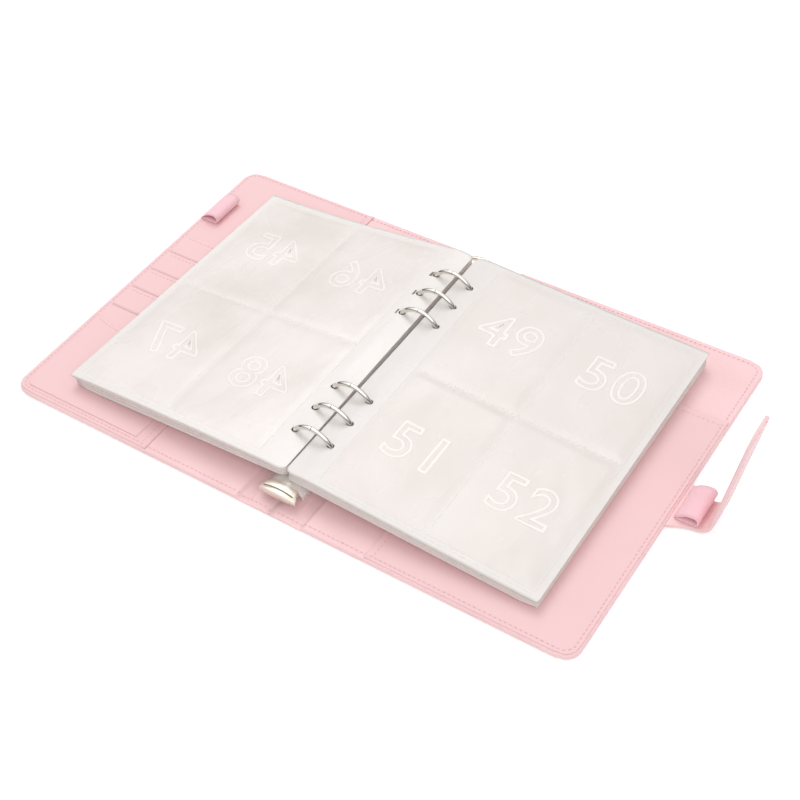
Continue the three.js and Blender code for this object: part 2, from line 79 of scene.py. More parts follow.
SLOT_START = 97.0
SLOT_INSET = 5.2
SLANT = (-61.0, -45.3)
RING_Y = (-73.0, -54.0, -35.0, 35.0, 54.0, 73.0)
RING_Z = 14.0
RING_RADIUS = 13.5
RING_FOOT_Z = 3.6
WIRE = 1.4
LOOP_REACH, LOOP_HEIGHT, LOOP_WIDTH, LOOP_WALL = 15.0, 7.4, 24.0, 0.9
FRONT_LOOP = (71.0, 4.3)
BACK_LOOP = (1.5, 2.62)
STRAP_THICK, STRAP_BASE = 2.0, 0.55
STRAP_TUCK, STRAP_FLAT, STRAP_BEND = 8.0, 14.5, 8.5
STRAP_LEAN, STRAP_RISE = 10.0, 79.5
STRAP_ROOT_HALF, STRAP_HALF, STRAP_FLARE = 17.0, 11.5, 16.0
SHEET_INNER, SHEET_OUTER, SHEET_HALF = 2.2, 155.8, 100.0
SHEET_TOP, STACK_THICK, STACK_FALL = 21.3, 8.5, 0.058
HOLE_CENTRE = 12.15
WELD_INNER, WELD_OUTER = 20.0, 151.8
PUFF = 0.5
LIES = {
    RIGHT: {"height": 13.3, "tilt": 1.5, "fall": 1.15, "bend": 0.08, "floor": 4.6},
    LEFT: {"height": 10.7, "tilt": -3.3, "fall": 1.1, "bend": 0.5, "floor": 5.4},
}
EDGE_STEPS = (0.0, 0.12, 0.35, 0.7, 1.2, 2.0, 2.8, 3.4, 4.0, 5.0)
# Stations over the spine and hinge, closer together where the leather bends.
HINGE_STEPS = (0, 5, 10, 13.6, 14, 14.5, 15, 15.6, 16.3, 17, 17.7, 18.4, 19.1, 19.8, 20.6, 21.2, 21.8,
               22.4, 23, 24, 27)
BOARD_START, LEATHER_STEP = 31, 6
# Depth and width of the pressed and sewn grooves.
HINGE_GROOVE, COVER_GROOVE = (0.3, 0.9), (0.16, 0.7)
SEAM_GROOVE, SLOT_GROOVE = (0.12, 0.6), (0.12, 0.5)
SWELL, SWELL_LENGTH = 0.1, 34
STITCH = (1.9, 0.5, 0.4)
OVALS_AT_ONCE = 40
LIP_RISE, LIP_BAND = 0.35, (2.4, 3.4)
LIP_SEAM, SEAM_END = 4.2, 3
PANEL_ROUND, SLOT_ROUND, SLOT_SIDE_ROUND, STRAP_ROUND = 0.5, 0.4, 0.25, 0.85
SLOT_SEAM, SLANT_SEAM, STRAP_SEAM = 2.6, 3, 2.6
SLANT_CORNER = 5.5
SLOT_LOW, SLOT_HIGH = 0.3, 0.8
LOOP_FOOT, LOOP_SHOULDER = (0.6, 3.0, 6.0, 9.0), 0.35
FRONT_LOOP_IN, BACK_LOOP_OUT = 1.8, 1.5
INNER_SAG, INNER_SHIFT, NEAR_SHIFT = 0.8, 0.8, 0.9
# The near outer pocket of the right stack is the looser one. Its u and y ranges, and the other stack's share.
LOOSE_U, LOOSE_Y, LEFT_LOOSE = (70, 110), (20, 60), 0.3
CREASE, LOOSE_CREASE, RIPPLE = 0.1, 0.34, 0.08
STRAP_STEP = 2.4
RING_JOINT, RING_SIDES, RING_STEPS = 0.15, 20, 30
NO_END = 999
FILM_THICK, LAYER_SHARE, LAYER_INSET, UNDER_FILM = 0.3, 0.8, 0.2, 0.45
LAYER_SCATTER = (2.6, 2.0, 1.6)
LAYER_HOLE, FILM_HOLE, FILM_HOLE_CENTRE = (3.4, 3.0), (2.1, 1.75), 11.95
# The room under the holes in which the wires slide: its outline in x and z, and its clearance.
WIRE_ROOM, WIRE_CLEAR = ((8.75, 20.5), (15.55, 20.5), (17.0, 17.0), (17.0, 5.0), (5.6, 5.0)), 0.6
# Length, width of the weld dots: along the edges, between the rows of pockets, and along the columns.
EDGE_DOT, TOOTH, COLUMN_DOT, DOT_HEIGHT = (1.0, 0.6), (1.1, 1.5), (0.6, 1.1), 0.3
EDGE_WELDS, TOOTH_ROWS, COLUMN_GAP = (-SHEET_HALF + 3.2, -SHEET_HALF + 5.6, SHEET_HALF - 3.2), (-0.3, 0.9), 0.9
NUMBER_LINE, NUMBER_SPREAD, NUMBER_HEIGHT = 0.9, 0.3, 0.22

# The camera and lamps, in metres and watts
CAMERA_PLACE = (0.35980, -0.47995, 0.61500)
CAMERA_RIGHT, CAMERA_UP = (0.83670, 0.54510, -0.05292), (-0.36597, 0.62838, 0.68645)
CAMERA_BACK = (0.40743, -0.55499, 0.72525)
LENS, SENSOR = 66.14, 36.0
LAMPS = (("key", (-0.6, 0.6, 1.6), 1.3, 10.5), ("fill", (0.9, -0.9, 1.3), 1.3, 6.0))
ROOM_LIGHT, FLOOR_WHITE, FLOOR_LIFT = 0.7, 0.93, 0.34
# The room in the metal: least and most light, and the heights between which it grows.
METAL_ROOM = (0.06, 1.35, 0.12, 0.62)


# Shared shapes


def ease(low, high, value):
    """0 before low, 1 after high, smooth between."""
    t = min(max((value - low) / (high - low), 0.0), 1.0)
    return t * t * (3 - 2 * t)


def groove(distance, depth, width):
    """How deep a groove is at a distance from its middle line."""
    return depth * math.exp(-((distance / width) ** 2))


def spaced(low, high, step, low_edge=True, high_edge=True):
    """Stations from low to high, closer together at the ends that have a turned edge."""
    start = [low + d for d in EDGE_STEPS] if low_edge else [low]
    end = [high - d for d in reversed(EDGE_STEPS)] if high_edge else [high]
    count = max(1, math.ceil((end[0] - start[-1]) / step))
    middle = [start[-1] + (end[0] - start[-1]) * i / count for i in range(1, count)]
    return start + middle + end


def face_outwards(bm):
    """Turns every face of a closed mesh outwards."""
    bmesh.ops.recalc_face_normals(bm, faces=bm.faces[:])


def slab(columns, rows, upper, lower):
    """A closed sheet over a grid. upper and lower give the point of each column and row."""
    bm = bmesh.new()
    across, along = len(columns) - 1, len(rows) - 1
    bmesh.ops.create_grid(bm, x_segments=across, y_segments=along, size=1)
    raised = bmesh.ops.extrude_face_region(bm, geom=bm.faces[:])["geom"]
    raised = {v for v in raised if isinstance(v, bmesh.types.BMVert)}
    station = {}
    for vert in bm.verts:
        column = columns[round((vert.co.x + 1) / 2 * across)]
        row = rows[round((vert.co.y + 1) / 2 * along)]
        station[vert] = (column, row)
        vert.co = Vector((upper if vert in raised else lower)(column, row))
    uv = bm.loops.layers.uv.new("surface")
    for face in bm.faces:
        for loop in face.loops:
            loop[uv].uv = [c * MM for c in station[loop.vert]]
    face_outwards(bm)
    return bm


def linked(name, data):
    """A new object in the scene."""
    item = bpy.data.objects.new(name, data)
    bpy.context.scene.collection.objects.link(item)
    return item


def into_mesh(name, bm):
    """A mesh from a bmesh, which is used up."""
    mesh = bpy.data.meshes.new(name)
    bm.to_mesh(mesh)
    bm.free()
    return mesh


def merge_into(bm, part):
    """Moves all of one bmesh into another."""
    mesh = into_mesh("part", part)
    bm.from_mesh(mesh)
    bpy.data.meshes.remove(mesh)


def finish_piece(name, bm, body, materials):
    """Turns a mesh in millimetres into a piece, which rides the body if one is given."""
    bm.transform(Matrix.Scale(MM, 4))
    mesh = into_mesh(name, bm)
    for item in materials:
        mesh.materials.append(item)
    for face in mesh.polygons:
        face.use_smooth = True
    piece = linked(name, mesh)
    if body:
        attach(piece, body)
    return piece


def soft_edges(piece, width):
    """Rounds a piece's sharp edges."""
    bevel = piece.modifiers.new("rounded edges", "BEVEL")
    bevel.width = width * MM
    bevel.segments = 2
    bevel.limit_method = "ANGLE"
    bevel.angle_limit = math.radians(35)
    bevel.harden_normals = True


def dressed_copy(node, body, finish, width):
    """A merged copy of a CAD node with rounded edges, in place of the node."""
    bm = bmesh.new()
    bm.from_mesh(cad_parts[node].data)
    bm.transform(Matrix.Scale(1 / MM, 4))
    bmesh.ops.remove_doubles(bm, verts=bm.verts[:], dist=0.002)
    bmesh.ops.dissolve_limit(bm, angle_limit=math.radians(1), verts=bm.verts[:], edges=bm.edges[:])
    piece = finish_piece("dressed_" + node, bm, body, [finish])
    soft_edges(piece, width)
    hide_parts(node)


# Stitches


def stitch_place(centre, along, size, normal=Vector((0, 0, 1))):
    """Place and size of one stitch: a short oval of thread, half sunk in the leather."""
    along, normal = along.normalized(), normal.normalized()
    turn = Matrix((along, normal.cross(along), normal)).transposed().to_4x4()
    length, width, height = size
    return Matrix.Translation(centre) @ turn @ Matrix.Diagonal((length / 2, width / 2, height / 2, 1))


def add_ovals(bm, places, index):
    """Adds a small oval at each place, a few dozen at a time."""
    for start in range(0, len(places), OVALS_AT_ONCE):
        batch = bmesh.new()
        for place in places[start:start + OVALS_AT_ONCE]:
            bmesh.ops.create_uvsphere(batch, u_segments=6, v_segments=4, radius=1, matrix=place)
        for face in batch.faces:
            face.material_index = index
        merge_into(bm, batch)


def walk(points, pitch):
    """Evenly spaced places along a line of points, each with its direction."""
    left = pitch / 2
    for a, b in zip(points, points[1:]):
        a, b = Vector(a), Vector(b)
        length = (b - a).length
        while length > 0 and left <= length:
            yield a + (b - a) * (left / length), (b - a).normalized()
            left += pitch
        left -= length


def sew(bm, points, pitch, height_at):
    """Stitches along a flat line, on the surface that height_at gives."""
    places = []
    for place, along in walk(points, pitch):
        centre = Vector((place.x, place.y, height_at(abs(place.x), place.y) + 0.03))
        places.append(stitch_place(centre, Vector((along.x, along.y, 0)), STITCH))
    add_ovals(bm, places, 1)


# Covers


def corner_half(u, reach, half, radius):
    """Half height of a rounded outline at a distance from the spine."""
    past = min(max(u - (reach - radius), 0.0), radius)
    return half - radius + math.sqrt(max(radius * radius - past * past, 0.0))


def rim_distance(u, y, reach, half, radius):
    """How far a point lies inside a cover's outline."""
    qx, qy = u - (reach - radius), abs(y) - (half - radius)
    if qx > 0 and qy > 0:
        return max(radius - math.hypot(qx, qy), 0.0)
    return min(reach - u, half - abs(y))


def turned_edge(distance, radius):
    """How far a turned edge has fallen at that distance from the rim."""
    if distance >= radius:
        return 0.0
    return radius * (1 - math.sqrt(max(1 - (1 - distance / radius) ** 2, 0.0)))


def cover_top(u, thick):
    """Height of the leather over spine, hinge and board."""
    height = SPINE_THICK + (HINGE_LEATHER - SPINE_THICK) * ease(SPINE_HALF, SPINE_HALF + 1, u)
    height += (thick - HINGE_LEATHER) * ease(*BOARD_FOOT, u)
    return height - groove(u - HINGE_X, *HINGE_GROOVE)


def rim_line(side, reach, half, radius, inset, start):
    """The stitch line round a cover's three outer edges."""
    edge, top, bend = reach - inset, half - inset, radius - inset
    arc = [math.radians(a) for a in range(-90, 1, 10)]
    near = [(edge - bend + bend * math.cos(a), -top + bend + bend * math.sin(a)) for a in arc]
    points = [(start, -top)] + near + [(x, -y) for x, y in reversed(near)] + [(start, top)]
    return [(side * x, y, 0) for x, y in points]


def make_cover(side, name, nodes, sizes, reach, pocket, finishes):
    """One cover with its half of the spine: board in turned leather, with a groove at the hinge."""
    half, thick, radius = sizes.cover_height / MM / 2, sizes.board_thick / MM, sizes.corner_radius / MM
    inset = sizes.stitch_inset / MM
    columns = [*HINGE_STEPS, *spaced(BOARD_START, reach, LEATHER_STEP, low_edge=False)]
    rows = [y / half for y in spaced(-half, half, LEATHER_STEP)]

    def upper(u, v):
        y = v * corner_half(u, reach, half, radius)
        rim = rim_distance(u, y, reach, half, radius)
        rounding = min(EDGE_ROUND, cover_top(u, thick) / 2)
        swell = SWELL * noise.noise(Vector((u / SWELL_LENGTH, y / SWELL_LENGTH, side)))
        swell *= ease(24, 40, u) * ease(3, 9, rim)
        fall = groove(rim - inset, *COVER_GROOVE) + turned_edge(rim, rounding)
        return (side * u, y, cover_top(u, thick) + swell - fall)

    def lower(u, v):
        y = v * corner_half(u, reach, half, radius)
        rounding = min(EDGE_ROUND, cover_top(u, thick) / 2)
        return (side * u, y, turned_edge(rim_distance(u, y, reach, half, radius), rounding))

    bm = slab(columns, rows, upper, lower)
    line = rim_line(side, reach, half, radius, inset, SEAM_END)

    def height(u, y):
        return pocket["top"] if u > pocket["edge"] and y < pocket["far"] else cover_top(u, thick)

    sew(bm, line, sizes.stitch_pitch / MM, height)
    piece = finish_piece(name, bm, None, finishes)
    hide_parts(*nodes)
    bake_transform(piece)


def make_panel(side, name, node, body, sizes, reach, edge, far, finishes):
    """A pocket panel: thin leather on a cover, with a turned lip at each free edge."""
    base, thick = sizes.board_thick / MM, POCKET_THICK
    half, radius = sizes.cover_height / MM / 2 - POCKET_INSET, sizes.corner_radius / MM - POCKET_INSET
    outer = reach - POCKET_INSET
    columns = spaced(edge, outer, LEATHER_STEP)
    rows = [(y + half) / (2 * half) for y in spaced(-half, half, LEATHER_STEP)]

    def flat(u, v):
        low = -corner_half(u, outer, half, radius)
        high = min(-low, far)
        return low + (high - low) * v

    def upper(u, v):
        y = flat(u, v)
        rim = min(rim_distance(u, y, outer, half, radius), max(far - y, 0.0), u - edge)
        free = min(u - edge, far - y) if far < half else u - edge
        lip = LIP_RISE * (1 - ease(*LIP_BAND, free))
        seam = groove(rim - sizes.stitch_inset / MM + POCKET_INSET, *SEAM_GROOVE)
        return (side * u, y, base + thick + lip - seam - turned_edge(rim, PANEL_ROUND))

    bm = slab(columns, rows, upper, lambda u, v: (side * u, flat(u, v), base - 0.05))
    inset = edge + LIP_SEAM
    lines = [[(inset, -half + SEAM_END), (inset, min(far, half) - SEAM_END)]]
    if far < half:
        lines.append([(edge + SEAM_END, far - LIP_SEAM), (outer - SEAM_END, far - LIP_SEAM)])
    for line in lines:
        sew(bm, [(side * u, y, 0) for u, y in line], sizes.stitch_pitch / MM, lambda u, y: base + thick)
    piece = finish_piece(name, bm, body, finishes)
    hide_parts(node)


def make_card_slot(number, sizes, finishes):
    """One card slot: a leather strip whose lip stands over the one above."""
    base = sizes.board_thick / MM + POCKET_THICK
    lip = SLOT_TOPS[number]
    tail = SLOT_TOPS[number + 1] + 0.3 if number + 1 < len(SLOT_TOPS) else SLOT_BOTTOM
    outer = sizes.front_reach / MM - SLOT_INSET
    rows = spaced(tail, lip, 3, low_edge=False)
    columns = spaced(SLOT_START, outer, 8)

    def upper(u, y):
        rise = SLOT_LOW + (SLOT_HIGH - SLOT_LOW) * (y - tail) / (lip - tail)
        fall = turned_edge(min(u - SLOT_START, outer - u), SLOT_SIDE_ROUND) + turned_edge(lip - y, SLOT_ROUND)
        return (-u, y, base + rise - fall - groove(lip - y - SLOT_SEAM, *SLOT_GROOVE))

    bm = slab(columns, rows, upper, lambda u, y: (-u, y, base - 0.02))
    sew(bm, [(-SLOT_START - 2, lip - SLOT_SEAM, 0), (-outer + 2, lip - SLOT_SEAM, 0)], sizes.stitch_pitch / MM,
        lambda u, y: base + 0.68)
    piece = finish_piece(f"leather_card_slot_{number + 1}", bm, "front_cover", finishes)
    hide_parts(f"card_slot_{number + 1}")


def make_slant_pocket(sizes, finishes):
    """The pocket under the card slots, with a slanted open edge."""
    base, thick = sizes.board_thick / MM + POCKET_THICK, POCKET_THICK
    outer = sizes.front_reach / MM - SLOT_INSET
    half = sizes.cover_height / MM / 2 - SLOT_INSET
    columns = spaced(SLOT_START, outer, 7)

    def flat(u, v):
        low = -corner_half(u, outer, half, SLANT_CORNER)
        high = SLANT[0] + (SLANT[1] - SLANT[0]) * (u - SLOT_START) / (outer - SLOT_START)
        return low + (high - low) * v, high

    def upper(u, v):
        y, high = flat(u, v)
        rim = min(high - y, rim_distance(u, y, outer, half, SLANT_CORNER), u - SLOT_START)
        seam = groove(high - y - SLANT_SEAM, *SEAM_GROOVE)
        return (-u, y, base + thick - seam - turned_edge(rim, PANEL_ROUND))

    bm = slab(columns, [y / 60 for y in spaced(0, 60, 4)], upper, lambda u, v: (-u, flat(u, v)[0], base - 0.02))
    line = [(-SLOT_START - 1, SLANT[0] - SLANT_SEAM, 0), (-outer + 2, SLANT[1] - SLANT_SEAM, 0)]
    sew(bm, line, sizes.stitch_pitch / MM, lambda u, y: base + thick - 0.08)
    piece = finish_piece("leather_slant_pocket", bm, "front_cover", finishes)
    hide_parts("slant_pocket")


# Strap and elastic loops


def strap_point(s, edge):
    """Middle line of the strap: x, z and its slope, at a length from the tucked end."""
    turn = math.radians(90 - STRAP_LEAN)
    flat = STRAP_TUCK + STRAP_FLAT
    angle = min(max((s - flat) / STRAP_BEND, 0.0), turn)
    past = max(s - flat - STRAP_BEND * turn, 0.0)
    x = edge - STRAP_TUCK + min(s, flat) + STRAP_BEND * math.sin(angle) + past * math.cos(angle)
    z = STRAP_BASE + STRAP_THICK / 2 + STRAP_BEND * (1 - math.cos(angle)) + past * math.sin(angle)
    return x, z, angle


def make_strap(sizes, finishes):
    """The closing strap: two leathers sewn together, flared at the root and round at the tip."""
    edge = sizes.back_reach / MM
    length = STRAP_TUCK + STRAP_FLAT + STRAP_BEND * math.radians(90 - STRAP_LEAN) + STRAP_RISE

    def half_at(s):
        flare = min(max((s - STRAP_TUCK) / STRAP_FLARE, 0.0), 1.0)
        side = STRAP_ROOT_HALF + (STRAP_HALF - STRAP_ROOT_HALF) * math.sin(flare * math.pi / 2)
        to_tip = min(max((length - s) / STRAP_HALF, 0.002), 1.0)
        return side * math.sqrt(1 - (1 - to_tip) ** 2)

    def place(s, t, face):
        x, z, angle = strap_point(s, edge)
        half = half_at(s)
        rim = min((1 - abs(t)) * half, length - s)
        offset = STRAP_THICK / 2 - turned_edge(rim, STRAP_ROUND)
        offset -= groove(rim - STRAP_SEAM, *SEAM_GROOVE)
        offset = max(offset, 0.08) * face
        return Vector((x - offset * math.sin(angle), t * half, z + offset * math.cos(angle)))

    turns = (10, 25, 38, 50, 60, 68, 75, 81, 86, 90)
    tip = [length - STRAP_HALF * (1 - math.sin(math.radians(a))) for a in turns]
    body = [i * STRAP_STEP for i in range(int((length - STRAP_HALF) / STRAP_STEP) + 1)]
    rows = [y / 12 for y in spaced(-12, 12, 2)]
    bm = slab(body + tip, rows, lambda s, t: place(s, t, 1), lambda s, t: place(s, t, -1))
    last = length - STRAP_SEAM - 0.1

    def seam_half(s):
        bend = STRAP_HALF - STRAP_SEAM
        round_end = min(max((last - s) / bend, 0.0), 1.0)
        return min(half_at(s) - STRAP_SEAM, bend * math.sqrt(1 - (1 - round_end) ** 2))

    places = []
    for face in (1, -1):
        for sign in (1, -1):
            s = STRAP_TUCK + 2.0
            while s < last - 0.4:
                here = place(s, sign * seam_half(s) / half_at(s), face)
                there = place(s + 0.4, sign * seam_half(s + 0.4) / half_at(s + 0.4), face)
                angle = strap_point(s, edge)[2]
                normal = Vector((-math.sin(angle), 0, math.cos(angle))) * face
                places.append(stitch_place(here, there - here, STITCH, normal))
                s += sizes.stitch_pitch / MM * 0.4 / max((there - here).length, 0.4)
    add_ovals(bm, places, 1)
    piece = finish_piece("leather_strap", bm, "back_cover", finishes)
    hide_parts("closure_strap")


def make_loop(name, node, body, edge, base, y, finish):
    """A flat tube of ribbed elastic, sewn at its thin end."""
    wall, radius = LOOP_WALL, (LOOP_HEIGHT - LOOP_WALL) / 2
    centre = Vector((LOOP_REACH - LOOP_HEIGHT / 2, LOOP_HEIGHT / 2))
    profile = [Vector((x, wall / 2)) for x in LOOP_FOOT]
    turns = [math.radians(degrees) for degrees in range(-90, 91, 15)]
    profile += [centre + radius * Vector((math.cos(a), math.sin(a))) for a in turns]
    start, end = profile[-1], Vector((LOOP_FOOT[0], wall * 1.5))
    bend = Vector((LOOP_REACH * LOOP_SHOULDER, LOOP_HEIGHT - wall / 2))
    for t in (i / 8 for i in range(1, 9)):
        profile.append(start * (1 - t) ** 2 + bend * 2 * t * (1 - t) + end * t * t)
    bm = bmesh.new()
    ring = bmesh.ops.create_circle(bm, segments=len(profile), radius=1)["verts"]
    for vert, point in zip(ring, profile):
        vert.co = Vector((edge + point.x, y - LOOP_WIDTH / 2, base + point.y))
    steps = 10
    edges = bm.edges[:]
    for _ in range(steps):
        made = bmesh.ops.extrude_edge_only(bm, edges=edges)["geom"]
        verts = [g for g in made if isinstance(g, bmesh.types.BMVert)]
        bmesh.ops.translate(bm, verts=verts, vec=Vector((0, LOOP_WIDTH / steps, 0)))
        edges = [g for g in made if isinstance(g, bmesh.types.BMEdge)]
    face_outwards(bm)
    middle = Vector((edge + centre.x, y, base + centre.y))
    outward = [f for f in bm.faces if (f.calc_center_median() - middle).dot(f.normal) > 0]
    if len(outward) < len(bm.faces) / 2:
        bmesh.ops.reverse_faces(bm, faces=bm.faces[:])
    bmesh.ops.solidify(bm, geom=bm.faces[:], thickness=wall)
    piece = finish_piece(name, bm, body, [finish])
    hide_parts(node)
    return piece


# Rings and levers


def make_half_rings(side, name, body, finish):
    """Six smooth half rings on one blade."""
    bm = bmesh.new()
    foot = math.asin((RING_Z - RING_FOOT_Z) / RING_RADIUS)
    gap = RING_JOINT / RING_RADIUS
    for y in RING_Y:
        upright = Matrix.Translation((0, y, RING_Z + RING_RADIUS)) @ Matrix.Rotation(math.pi / 2, 4, "Y")
        circle = bmesh.ops.create_circle(bm, cap_ends=True, segments=RING_SIDES, radius=WIRE, matrix=upright)
        circle = circle["verts"]
        tip = list({f for v in circle for f in v.link_faces})
        turn = Matrix.Rotation(side * gap, 3, "Y")
        bmesh.ops.rotate(bm, verts=circle, cent=(0, y, RING_Z), matrix=turn)
        edges = list({e for v in circle for e in v.link_edges})
        bmesh.ops.spin(bm, geom=tip + circle + edges, cent=(0, y, RING_Z), axis=(0, 1, 0),
                       angle=side * (math.pi / 2 + foot - gap), steps=RING_STEPS, use_merge=False)
    face_outwards(bm)
    piece = finish_piece(name, bm, body, [finish])
    soft_edges(piece, 0.25)
    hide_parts(*[f"{name.split('_')[1]}_half_ring_{i + 1}" for i in range(len(RING_Y))])


# Clear sheets


def top_sheet(side, u, y):
    """Height of the top sheet of a stack, before its pockets are filled."""
    lie, v = LIES[side], y / SHEET_HALF
    outer = lie["height"] + lie["tilt"] * v
    across = min(max((u - HOLE_CENTRE) / (SHEET_OUTER - HOLE_CENTRE), 0.0), 1.0)
    sag = INNER_SAG * max(1 - u / HOLE_CENTRE, 0.0)
    return outer + (SHEET_TOP - outer) * (1 - across) ** (lie["fall"] + lie["bend"] * v) - sag - PUFF


def pocket_fill(u, y):
    """0 on the welds round the pockets, 1 inside a pocket."""
    middle = (WELD_INNER + WELD_OUTER) / 2
    across = min(abs(u - WELD_INNER), abs(u - middle), abs(u - WELD_OUTER))
    inside = 1.0 if WELD_INNER < u < WELD_OUTER else 0.0
    return inside * ease(0.4, 5.0, across) * ease(0.4, 5.0, min(abs(y), SHEET_HALF - 4 - abs(y)))


def film_top(side, u, y):
    """Height of the top film, with its filled pockets, welds and small wrinkles."""
    fill = pocket_fill(u, y)
    loose = ease(*LOOSE_U, u) * ease(*LOOSE_Y, -y) if side > 0 else LEFT_LOOSE
    crease = noise.noise(Vector((u / 9 + y / 23, y / 30, side * 3.0)))
    ripple = noise.noise(Vector((u / 17, y / 12, side * 7.0)))
    wrinkle = (CREASE + LOOSE_CREASE * loose) * crease + RIPPLE * ripple
    return top_sheet(side, u, y) + PUFF * fill + wrinkle * fill


def stack_floor(side, u):
    """Height of a stack's lowest sheet."""
    return max(LIES[side]["floor"], SHEET_TOP - STACK_THICK - STACK_FALL * (u - HOLE_CENTRE))


def sheet_half(u, outer, half, inner_radius=3.5, outer_radius=1.2):
    """Half height of a sheet with rounded corners, more so beside the spine."""
    inner = u - SHEET_INNER < outer - u
    radius = inner_radius if inner else outer_radius
    past = min(max(radius - (u - SHEET_INNER if inner else outer - u), 0.0), radius)
    return half - radius + math.sqrt(max(radius * radius - past * past, 0.0))


def towards_spine(u, v):
    """The sheets' inner edges come closer together towards the near end."""
    return u - (INNER_SHIFT + NEAR_SHIFT * ease(-0.2, 1.0, -v)) * (1 - ease(SHEET_INNER, 8.0, u))


def cut_holes(piece, side, hole, centre):
    """Punches the ring holes and the room below them in which the wires slide."""
    tubes, rooms = bmesh.new(), bmesh.new()
    for y in RING_Y:
        place = Matrix.Translation((side * centre, y, 20)) @ Matrix.Diagonal((*hole, 1, 1))
        bmesh.ops.create_cone(tubes, cap_ends=True, segments=24, radius1=1, radius2=1, depth=8, matrix=place)
        ring = bmesh.ops.create_circle(rooms, cap_ends=True, segments=len(WIRE_ROOM), radius=1)["verts"]
        for vert, (x, z) in zip(ring, WIRE_ROOM):
            vert.co = Vector((side * x, y - WIRE - WIRE_CLEAR, z))
        face = list({f for v in ring for f in v.link_faces})
        made = bmesh.ops.extrude_face_region(rooms, geom=face)["geom"]
        verts = [g for g in made if isinstance(g, bmesh.types.BMVert)]
        bmesh.ops.translate(rooms, verts=verts, vec=Vector((0, 2 * (WIRE + WIRE_CLEAR), 0)))
    for bm in (tubes, rooms):
        face_outwards(bm)
        bm.transform(Matrix.Scale(MM, 4))
        cutter = linked("cutter", into_mesh("cutter", bm))
        cut = piece.modifiers.new("punched holes", "BOOLEAN")
        cut.operation, cut.solver, cut.object = "DIFFERENCE", "MANIFOLD", cutter
        bpy.context.view_layer.update()
        done = bpy.data.meshes.new_from_object(piece.evaluated_get(bpy.context.evaluated_depsgraph_get()))
        piece.modifiers.clear()
        piece.data = done
        bpy.data.objects.remove(cutter)


def make_stack(side, name, body, sizes, finishes):
    """The lower sheets of a stack, each a thin layer with its own small shift."""
    chance = random.Random(11 + side)
    bm = bmesh.new()
    for level in range(sizes.sheet_layers):
        outer = SHEET_OUTER - LAYER_INSET - chance.random() * LAYER_SCATTER[0]
        half = SHEET_HALF - LAYER_INSET - chance.random() * LAYER_SCATTER[1]
        shift = (chance.random() - 0.5) * LAYER_SCATTER[2]
        low, high = level / sizes.sheet_layers, (level + LAYER_SHARE) / sizes.sheet_layers
        columns = [SHEET_INNER + LAYER_INSET, 4, 7, 10, 13, 17, 22] + spaced(30, outer, 9, False, False)
        rows = [i / 14 for i in range(-14, 15)]

        def layer(share):
            def point(u, v, outer=outer, half=half, shift=shift):
                y = v * min(sheet_half(u, outer, half), SHEET_HALF - LAYER_INSET - abs(shift)) + shift
                floor = stack_floor(side, u)
                height = floor + (top_sheet(side, u, y) - UNDER_FILM - floor) * share
                return (side * towards_spine(u, v), y, height)
            return point

        part = slab(columns, rows, layer(high), layer(low))
        # Every other layer takes the pink finish: painted light from the leather seen through the film.
        for face in part.faces:
            face.material_index = level % 2
        merge_into(bm, part)
    piece = finish_piece(name, bm, None, finishes)
    cut_holes(piece, side, LAYER_HOLE, HOLE_CENTRE)
    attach(piece, body)
    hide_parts(body)


def make_top_film(side, name, body, finishes):
    """The top sheet: two rows of two filled pockets, with flat strips between them."""
    columns = [SHEET_INNER, 2.6, 3.4, 5, 7, 9.5, 12, 14.5, 17, 19, 20, 21, 22.5]
    columns += spaced(25, SHEET_OUTER, 2.6)
    rows = [i / 62 for i in range(-62, 63)]

    def point(lift):
        def place(u, v):
            y = v * sheet_half(u, SHEET_OUTER, SHEET_HALF)
            return (side * towards_spine(u, v), y, film_top(side, u, y) + lift)
        return place

    bm = slab(columns, rows, point(0), point(-FILM_THICK))
    piece = finish_piece(name, bm, None, finishes)
    cut_holes(piece, side, FILM_HOLE, FILM_HOLE_CENTRE)
    filled = piece.data.attributes.new("pocket_fill", "FLOAT", "POINT")
    fills = [pocket_fill(abs(vert.co.x) / MM, vert.co.y / MM) for vert in piece.data.vertices]
    filled.data.foreach_set("value", fills)
    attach(piece, body)


def make_welds(side, name, body, sizes, finishes):
    """Raised weld dots and the toothed line between the pockets."""
    bm, places = bmesh.new(), []

    def dot(u, y, size):
        centre = Vector((side * u, y, film_top(side, u, y) + 0.02))
        places.append(stitch_place(centre, Vector((1, 0, 0)), (*size, DOT_HEIGHT)))

    pitch, middle = sizes.weld_pitch / MM, (WELD_INNER + WELD_OUTER) / 2
    for i in range(int((WELD_OUTER - WELD_INNER) / pitch)):
        u = WELD_INNER + (i + 0.5) * pitch
        for y in EDGE_WELDS:
            dot(u, y, EDGE_DOT)
        dot(u, TOOTH_ROWS[i % 2], TOOTH)
    for i in range(int((2 * SHEET_HALF - 10) / pitch)):
        y = -SHEET_HALF + 5 + (i + 0.5) * pitch
        for u in (WELD_INNER, middle - COLUMN_GAP, middle + COLUMN_GAP, WELD_OUTER):
            dot(u, y, COLUMN_DOT)
    add_ovals(bm, places, 0)
    finish_piece(name, bm, body, finishes)


